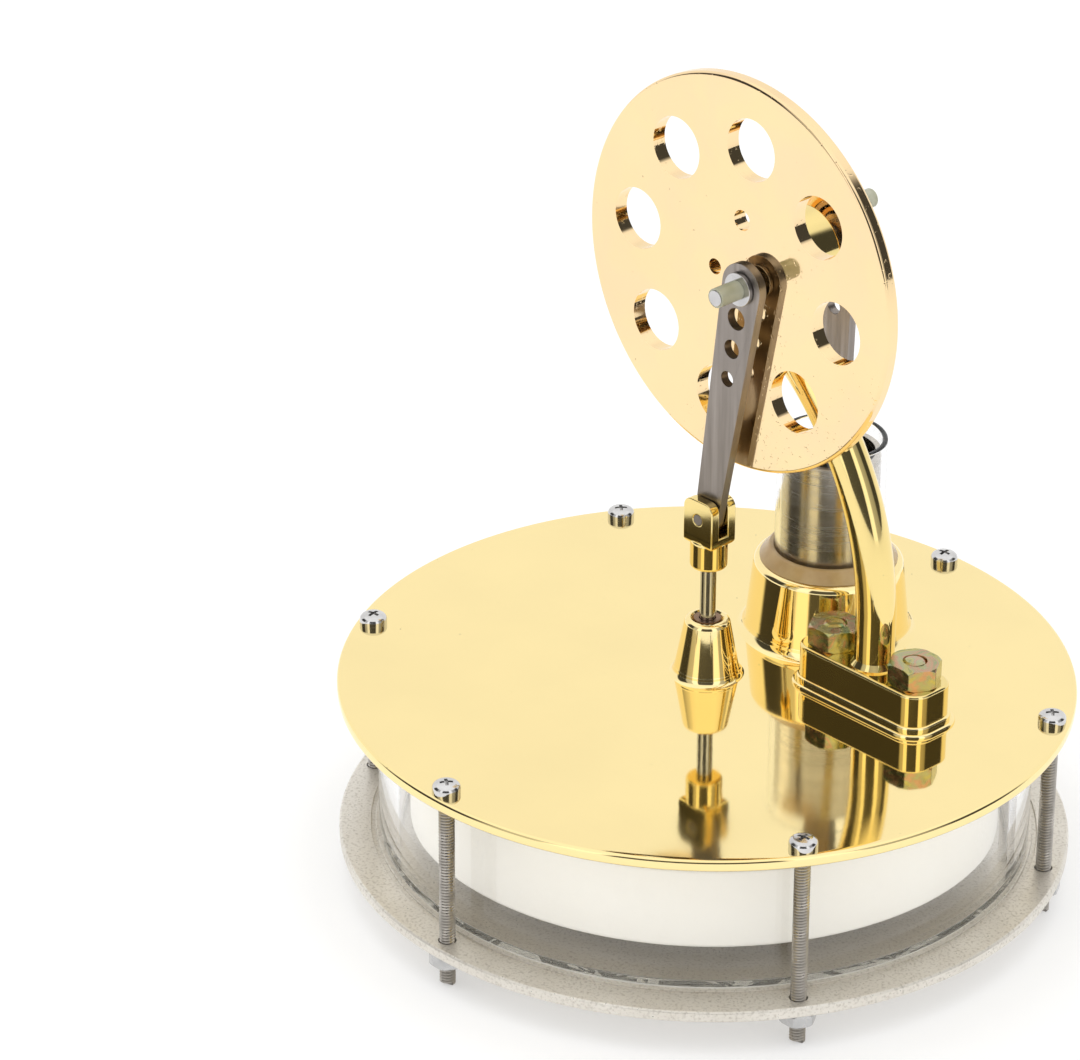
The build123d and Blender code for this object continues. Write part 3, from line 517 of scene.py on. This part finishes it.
def dull_film(name, colour):
    """Thin gasket sheet with a faint mottle."""
    material, tree, shader = finish_material(name, colour, 0.0, 0.6)
    cloud = grain(tree, 400, detail=3)
    tree.links.new(blend_colours(tree, between(tree, cloud, 0.3, 0.7, 0, 1), colour,
                                 tuple(value * 0.85 for value in colour)), shader.inputs["Base Color"])
    return material


# ---- the engine's own pieces ----

SCREW_RADIUS, SCREW_THREAD_DEPTH, SCREW_PITCH = 1.0 * MM, 0.2 * MM, 0.4 * MM
STUD_RADIUS, STUD_THREAD_DEPTH, STUD_PITCH = 1.5 * MM, 0.3 * MM, 0.5 * MM
HEAD_SIDE_SHARE = 0.42
RECESS_LENGTH, RECESS_WIDTH, RECESS_DEPTH = 2.15 * MM, 0.55 * MM, 1.3 * MM
RECESS_NARROWING = 0.55
RING_WALL = 2.5 * MM
TUBE_WALL = 0.7 * MM
PISTON_WALL, PISTON_FLOOR = 0.8 * MM, 1.2 * MM
WHEEL_RIM_ROUND = 0.45 * MM
LIGHTENING_COUNT, LIGHTENING_RADIUS, LIGHTENING_REACH = 8, 3.9 * MM, 16.8 * MM
LIGHTENING_TURN = radians(7.2)
SHAFT_BORE, SPARE_BORE, INNER_BORE = 1.3 * MM, 1.3 * MM, 1.0 * MM
SPARE_REACH, INNER_REACH = 7.4 * MM, 3.4 * MM
PLATE_RIM_ROUND = 0.45 * MM
BOSS_TOP_WALL, BOSS_BASE_WALL, BOSS_TOP_ROUND = 2.6 * MM, 3.5 * MM, 0.9 * MM
PAD_WIDTH, PAD_CORNER = 7.6 * MM, 2.6 * MM
CLEVIS_SLOT, CLEVIS_FLOOR_BELOW_PIN, CLEVIS_CROWN = 1.5 * MM, 2.2 * MM, 1.3 * MM
COLLAR_RADIUS, COLLAR_TOP_BELOW_PIN = 2.35 * MM, 3.2 * MM
CLEVIS_BORE = 0.72 * MM


def threaded_rod(radius, depth, pitch, bottom, top, x, y, steps):
    """A real screw thread: one V-shaped tooth spun upwards, with flat ends."""
    shape = bmesh.new()
    turns = round((top - bottom) / pitch) - 1
    rise = (top - bottom) / (turns + 1)
    corners = [shape.verts.new((x + reach, y, bottom + height)) for reach, height in
               ((radius - depth, 0), (radius, rise * 0.4), (radius, rise * 0.6), (radius - depth, rise))]
    edges = [shape.edges.new(pair) for pair in zip(corners, corners[1:])]
    bmesh.ops.spin(shape, geom=corners + edges, cent=(x, y, 0), axis=(0, 0, 1), angle=2 * pi * turns,
                   steps=steps * turns, dvec=(0, 0, rise / steps))
    bmesh.ops.remove_doubles(shape, verts=shape.verts, dist=2e-6)
    bmesh.ops.holes_fill(shape, edges=[edge for edge in shape.edges if edge.is_boundary], sides=0)
    bmesh.ops.recalc_face_normals(shape, faces=shape.faces)
    return shape


def cross_recess(x, y, top, turn):
    """The cutter for a cross recess, narrower at its floor."""
    arms = []
    for quarter in (0, pi / 2):
        arm = bmesh.new()
        bmesh.ops.create_cube(arm, size=1)
        for vert in arm.verts:
            narrow = RECESS_NARROWING if vert.co.z < 0 else 1.0
            vert.co.x *= narrow
            vert.co.y *= narrow
        bmesh.ops.scale(arm, vec=(RECESS_LENGTH, RECESS_WIDTH, RECESS_DEPTH), verts=arm.verts)
        bmesh.ops.rotate(arm, cent=(0, 0, 0), matrix=Matrix.Rotation(quarter + turn, 3, "Z"), verts=arm.verts)
        bmesh.ops.translate(arm, vec=(x, y, top), verts=arm.verts)
        arms.append(arm)
    return arms


def cut_with(piece, cutter_mesh):
    """Takes a cutter away from a piece and keeps the result as its mesh."""
    mesh = bpy.data.meshes.new("cutter")
    cutter_mesh.to_mesh(mesh)
    cutter_mesh.free()
    cutter = bpy.data.objects.new("cutter", mesh)
    bpy.context.scene.collection.objects.link(cutter)
    cut = piece.modifiers.new("cut", "BOOLEAN")
    cut.object = cutter
    cut.solver = "EXACT"
    bpy.context.view_layer.update()
    result = bpy.data.meshes.new_from_object(piece.evaluated_get(bpy.context.evaluated_depsgraph_get()))
    piece.modifiers.remove(cut)
    old = piece.data
    piece.data = result
    bpy.data.meshes.remove(old)
    bpy.data.objects.remove(cutter)
    bpy.data.meshes.remove(mesh)
    shape = bmesh.new()
    shape.from_mesh(piece.data)
    keep_flats_flat(shape)
    shape.to_mesh(piece.data)
    shape.free()


def chamber_screws(steel, thread_finish, nut_finish):
    """Pan heads with cross recesses, threaded all the way down, and their hexagon nuts."""
    for number in range(1, 7):
        node = f"chamber_screw_{number}"
        low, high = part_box(node)
        x, y = (low.x + high.x) / 2, (low.y + high.y) / 2
        head_radius = (high.x - low.x) / 2
        deck = high.z - HEAD_HEIGHT
        shank = threaded_rod(SCREW_RADIUS, SCREW_THREAD_DEPTH, SCREW_PITCH, low.z, deck, x, y, 14)
        stand_for(piece_from(node + "_thread", shank, thread_finish), node)
        dome = [(0, deck), (head_radius, deck), (head_radius, deck + HEAD_HEIGHT * HEAD_SIDE_SHARE)]
        for index in range(1, 9):
            angle = index / 8 * pi / 2
            dome.append((head_radius * (0.55 + 0.45 * cos(angle)),
                         deck + HEAD_HEIGHT * (HEAD_SIDE_SHARE + 0.5 * sin(angle))))
        dome += [(head_radius * 0.3, high.z - 0.03 * MM), (0, high.z)]
        head = piece_from(node + "_head", turn_profile(dome, 40, False, (x, y, 0)), steel)
        for arm in cross_recess(x, y, high.z, radians(47 * number)):
            cut_with(head, arm)
        stand_for(head, node)
        same_shape(f"chamber_nut_{number}", nut_finish, 0.08 * MM)


def column_studs(finish):
    """The two threaded studs that hold the column's foot."""
    for number in (1, 2):
        node = f"column_stud_{number}"
        low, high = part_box(node)
        x, y = (low.x + high.x) / 2, (low.y + high.y) / 2
        rod = threaded_rod(STUD_RADIUS, STUD_THREAD_DEPTH, STUD_PITCH, low.z, high.z, x, y, 20)
        stand_for(piece_from(node + "_thread", rod, finish), node)


def clear_ring(material):
    """The chamber's clear wall."""
    low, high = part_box("acrylic_ring")
    outer = (high.x - low.x) / 2
    inner = outer - RING_WALL
    outline = [(inner, low.z), (outer, low.z), (outer, high.z), (inner, high.z)]
    ring = piece_from("clear_ring", turn_profile(outline, 192, True), material)
    soften(ring, 0.15 * MM)
    stand_for(ring, "acrylic_ring")


def glass_tube(material):
    """The power cylinder, with fire-polished rims."""
    low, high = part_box("glass_cylinder")
    outer = (high.x - low.x) / 2
    inner = outer - TUBE_WALL
    outline = [(inner, low.z), (outer, low.z), (outer, high.z), (inner, high.z)]
    tube = piece_from("glass_tube", turn_profile(outline, 96, True, CYLINDER), material)
    soften(tube, 0.3 * MM, 4)
    stand_for(tube, "glass_cylinder")


def foam_disc(material):
    """The displacer, with its edges rubbed round."""
    low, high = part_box("displacer")
    radius = (high.x - low.x) / 2
    outline = [(0, low.z), (radius, low.z), (radius, high.z), (0, high.z)]
    disc = piece_from("foam_disc", turn_profile(outline, 160, False), material)
    soften(disc, 0.7 * MM, 4)
    stand_for(disc, "displacer")


def flywheel_disc(material):
    """A turned disc with a rounded rim, bored for eight lightening holes, two small holes and the shaft."""
    low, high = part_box("flywheel")
    radius = (high.z - low.z) / 2
    rim = WHEEL_RIM_ROUND
    outline = [(0, low.y), (radius - rim, low.y)]
    outline += list(arc(radius - rim, low.y + rim, rim, -90, 0, 5))[1:]
    outline += arc(radius - rim, high.y - rim, rim, 0, 90, 5)
    outline += [(0, high.y)]
    disc = piece_from("flywheel_disc", turn_profile(outline, 240, False, SHAFT, "Y"), material)
    bores = [(SHAFT_BORE, 0, 0),
             (SPARE_BORE, SPARE_REACH * sin(LIGHTENING_TURN), SPARE_REACH * cos(LIGHTENING_TURN)),
             (INNER_BORE, -INNER_REACH, 0)]
    for index in range(LIGHTENING_COUNT):
        angle = LIGHTENING_TURN + 2 * pi * index / LIGHTENING_COUNT
        bores.append((LIGHTENING_RADIUS, LIGHTENING_REACH * sin(angle), LIGHTENING_REACH * cos(angle)))
    cutter = bmesh.new()
    for bore, x, z in bores:
        place = Matrix.Translation((SHAFT.x + x, (low.y + high.y) / 2, SHAFT.z + z)) @ Matrix.Rotation(pi / 2, 4, "X")
        bmesh.ops.create_cone(cutter, segments=72, radius1=bore, radius2=bore, depth=(high.y - low.y) * 2,
                              matrix=place, cap_ends=True)
    cut_with(disc, cutter)
    stand_for(soften(disc, 0.12 * MM, 3), "flywheel")


def turned_piston(material):
    """A cup open at the top, with softened rims."""
    low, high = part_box("piston")
    radius = (high.x - low.x) / 2
    outline = [(0, low.z), (radius, low.z), (radius, high.z), (radius - PISTON_WALL, high.z),
               (radius - PISTON_WALL, low.z + PISTON_FLOOR), (0, low.z + PISTON_FLOOR)]
    cup = piece_from("turned_piston", turn_profile(outline, 96, False, middle_of("piston")), material)
    stand_for(soften(cup, 0.12 * MM, 3), "piston")


def rounded_block(length, width, corner, bottom, top, edge, x, y):
    """A block with round upright corners and a softened top edge."""
    shape = bmesh.new()
    bmesh.ops.create_cube(shape, size=1)
    bmesh.ops.scale(shape, vec=(length, width, top - bottom), verts=shape.verts)
    bmesh.ops.translate(shape, vec=(x, y, (bottom + top) / 2), verts=shape.verts)
    upright = [side for side in shape.edges if abs(side.verts[0].co.z - side.verts[1].co.z) > edge]
    bmesh.ops.bevel(shape, geom=upright, offset=corner, segments=10, affect="EDGES", profile=0.5, material=-1)
    rim = [side for side in shape.edges if min(vert.co.z for vert in side.verts) > top - edge / 10]
    bmesh.ops.bevel(shape, geom=rim, offset=edge, segments=4, affect="EDGES", profile=0.5, material=-1)
    return shape


def arc(centre_radius, centre_height, reach, start, end, steps=6):
    """Points of a quarter-round in an outline, from one angle in degrees to another."""
    for index in range(steps + 1):
        angle = radians(start + (end - start) * index / steps)
        yield centre_radius + reach * cos(angle), centre_height + reach * sin(angle)


def top_casting(material):
    """The top plate with its rounded rim, the cylinder's boss, the rod's gland and the column's pad."""
    low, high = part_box("top_plate")
    radius = (high.x - low.x) / 2
    rim = PLATE_RIM_ROUND
    outline = [(0, low.z), (radius - 2 * rim, low.z)]
    outline += arc(radius - rim, low.z + rim, rim, -90, 0)
    outline += arc(radius - rim, DECK_Z - rim, rim, 0, 90)
    outline += [(radius - 2 * rim, DECK_Z), (0, DECK_Z)]
    stand_for(piece_from("top_sheet", turn_profile(outline, 240, False), material), "top_plate")

    tube = size_of("glass_cylinder").x / 2
    boss_top, sink = high.z, 0.03 * MM
    top_reach, base_reach = tube + BOSS_TOP_WALL, tube + BOSS_BASE_WALL
    outline = [(tube, DECK_Z - sink), (tube, boss_top - 0.3 * MM), (tube + 0.3 * MM, boss_top)]
    outline += arc(top_reach - BOSS_TOP_ROUND, boss_top - BOSS_TOP_ROUND, BOSS_TOP_ROUND, 90, 5, 8)
    outline += [(base_reach - 0.1 * MM, DECK_Z + 1.5 * MM)]
    outline += arc(base_reach + 1.3 * MM, DECK_Z + 1.3 * MM, 1.35 * MM, 180, 268, 8)
    boss = turn_profile(outline, 96, True, (CYLINDER.x, CYLINDER.y, 0))
    stand_for(piece_from("cylinder_boss", boss, material), "top_plate")

    bush_low, bush_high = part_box("gland_bush")
    bush = (bush_high.x - bush_low.x) / 2
    gland_top = bush_high.z
    outline = [(bush, DECK_Z - sink), (bush, gland_top - 0.5 * MM), (bush + 0.4 * MM, gland_top)]
    outline += arc(2.2 * MM, gland_top - 0.7 * MM, 0.7 * MM, 90, 10, 8)
    outline += [(4.0 * MM, DECK_Z + 1.1 * MM)]
    outline += arc(5.0 * MM, DECK_Z + 0.9 * MM, 0.95 * MM, 175, 268, 8)
    stand_for(piece_from("rod_gland", turn_profile(outline, 72, True), material), "top_plate")

    foot_low, foot_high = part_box("column")
    stud_1, stud_2 = middle_of("column_stud_1"), middle_of("column_stud_2")
    middle_x = (stud_1.x + stud_2.x) / 2
    length = 2 * (foot_high.x - middle_x)
    pad_top = foot_low.z
    for name, spread, bottom, top, edge in (("pad_lower", 1.9 * MM, DECK_Z - sink, DECK_Z + 0.45 * MM, 0.35 * MM),
                                            ("pad_upper", 0.7 * MM, DECK_Z + 0.3 * MM, pad_top, 0.3 * MM)):
        block = rounded_block(length + spread, PAD_WIDTH + spread, PAD_CORNER + spread / 2, bottom, top, edge,
                              middle_x, stud_1.y)
        stand_for(piece_from(name, block, material), "top_plate")


def clevis_fork(material):
    """Two rounded cheeks on a short block that runs into the rod's collar."""
    low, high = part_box("clevis")
    pin_low, pin_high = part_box("clevis_pin")
    pin_z = (pin_low.z + pin_high.z) / 2
    width = high.x - low.x
    depth = pin_high.y - pin_low.y
    slot, collar = CLEVIS_SLOT, COLLAR_RADIUS
    collar_top = pin_z - COLLAR_TOP_BELOW_PIN
    outline = [(0, low.z)]
    outline += arc(collar - 0.5 * MM, low.z + 0.5 * MM, 0.5 * MM, -90, 0)
    outline += [(collar, collar_top - 0.4 * MM)]
    outline += arc(collar - 0.3 * MM, collar_top - 0.1 * MM, 0.3 * MM, 0, 90, 4)
    outline += [(0, collar_top + 0.2 * MM)]
    stand_for(piece_from("clevis_collar", turn_profile(outline, 56, False), material), "clevis")
    floor_z = pin_z - CLEVIS_FLOOR_BELOW_PIN
    base = bmesh.new()
    bmesh.ops.create_cube(base, size=1)
    bmesh.ops.scale(base, vec=(width, depth, floor_z - collar_top + 0.5 * MM), verts=base.verts)
    bmesh.ops.translate(base, vec=(0, 0, (floor_z + collar_top - 0.5 * MM) / 2), verts=base.verts)
    bmesh.ops.bevel(base, geom=[edge for edge in base.edges if max(v.co.z for v in edge.verts) < floor_z - MM / 10],
                    offset=0.6 * MM, segments=5, affect="EDGES", profile=0.5, material=-1)
    stand_for(soften(piece_from("clevis_block", base, material), 0.15 * MM, 3), "clevis")
    for side in (-1, 1):
        cheek = bmesh.new()
        bmesh.ops.create_cube(cheek, size=1)
        thick = (depth - slot) / 2
        bmesh.ops.scale(cheek, vec=(width, thick, high.z - floor_z + 0.4 * MM), verts=cheek.verts)
        bmesh.ops.translate(cheek, vec=(0, side * (slot + thick) / 2, (high.z + floor_z - 0.4 * MM) / 2),
                            verts=cheek.verts)
        crown = [edge for edge in cheek.edges if min(v.co.z for v in edge.verts) > pin_z
                 and abs(edge.verts[0].co.y - edge.verts[1].co.y) > thick / 2]
        bmesh.ops.bevel(cheek, geom=crown, offset=CLEVIS_CROWN, segments=6, affect="EDGES", profile=0.5, material=-1)
        piece = piece_from(f"clevis_cheek_{side + 2}", cheek, material)
        bore = bmesh.new()
        bmesh.ops.create_cone(bore, segments=32, radius1=CLEVIS_BORE, radius2=CLEVIS_BORE, depth=depth * 2,
                              matrix=Matrix.Translation((0, 0, pin_z)) @ Matrix.Rotation(pi / 2, 4, "X"),
                              cap_ends=True)
        cut_with(piece, bore)
        stand_for(soften(piece, 0.16 * MM, 3), "clevis")


gold_plate = polished_gold("gold_plate")
gold_wheel = polished_gold("gold_wheel", (0.97, 0.745, 0.42), 0.06, bloom=0.3)
gold_casting = polished_gold("gold_casting", GOLD_DEEP, 0.06)
steel_bright = bright_steel("steel_bright")
screw_chrome = bright_steel("screw_chrome", (0.72, 0.71, 0.70), 0.12)
thread_steel = bright_steel("thread_steel", (0.50, 0.47, 0.43), 0.3)
nut_zinc = bright_steel("nut_zinc", (0.62, 0.62, 0.62), 0.26)
nut_yellow = yellow_zinc("nut_yellow")
rod_steel = brushed_steel("rod_steel", (0.36, 0.32, 0.29), 0.36, (1, 1, 0.04), strength=0.2)
piston_steel = brushed_steel("piston_steel", (0.60, 0.56, 0.50), 0.24, (0.05, 0.05, 1))
bearing_steel = bright_steel("bearing_steel", (0.62, 0.62, 0.64), 0.18)
bronze = brushed_steel("bronze", (0.28, 0.17, 0.10), 0.3, (1, 0.1, 1))
cage_brass = polished_gold("cage_brass", (0.72, 0.50, 0.22), 0.25)
base_metal = turned_aluminium("base_metal")
acrylic = clear("acrylic", 1.49)
glass = clear("glass", 1.47)
foam_white = foam("foam_white")
glue = amber_glue("glue")
sleeve_plastic = milky_tube("sleeve_plastic")
gasket_film = dull_film("gasket_film", (0.80, 0.79, 0.74))

add_camera()
add_studio()
chamber_screws(screw_chrome, thread_steel, nut_zinc)
column_studs(nut_yellow)
clear_ring(acrylic)
glass_tube(glass)
foam_disc(foam_white)
same_shape("base_plate", base_metal, 0.12 * MM)
top_casting(gold_plate)
same_shape("column", gold_casting, 0)
for number in (1, 2):
    same_shape(f"column_nut_{number}", nut_yellow, 0.12 * MM)
flywheel_disc(gold_wheel)
same_shape("crank_disc", gold_wheel, 0)
clevis_fork(gold_casting)
for node in ("displacer_conrod", "piston_conrod", "clevis_pin"):
    same_shape(node, rod_steel, 0.07 * MM)
turned_piston(piston_steel)
same_shape("cylinder_glue", glue, 0.2 * MM, 3)
for node in ("displacer_pin_sleeve", "piston_pin_sleeve"):
    same_shape(node, sleeve_plastic, 0.06 * MM)
for node in ("displacer_crank_pin", "piston_crank_pin", "displacer_inner_washer", "displacer_outer_washer",
             "piston_inner_washer", "piston_outer_washer", "displacer_rod", "wrist_pin",
             "displacer_hub_washer", "displacer_hub_nut"):
    same_shape(node, steel_bright, 0.06 * MM)
for node in ("crankshaft", "rear_spacer", "front_bearing_outer_race", "rear_bearing_outer_race",
             "front_bearing_inner_race", "rear_bearing_inner_race"):
    same_shape(node, bearing_steel, 0.06 * MM)
for node in ("front_bearing_balls", "rear_bearing_balls", "front_bearing_side_ball"):
    same_shape(node, bearing_steel, 0)
for node in ("front_bearing_cage", "rear_bearing_cage"):
    same_shape(node, cage_brass, 0)
same_shape("front_spacer", bronze, 0.08 * MM)
same_shape("gland_bush", bronze, 0.05 * MM)
for node in ("lower_gasket", "upper_gasket"):
    same_shape(node, gasket_film, 0)
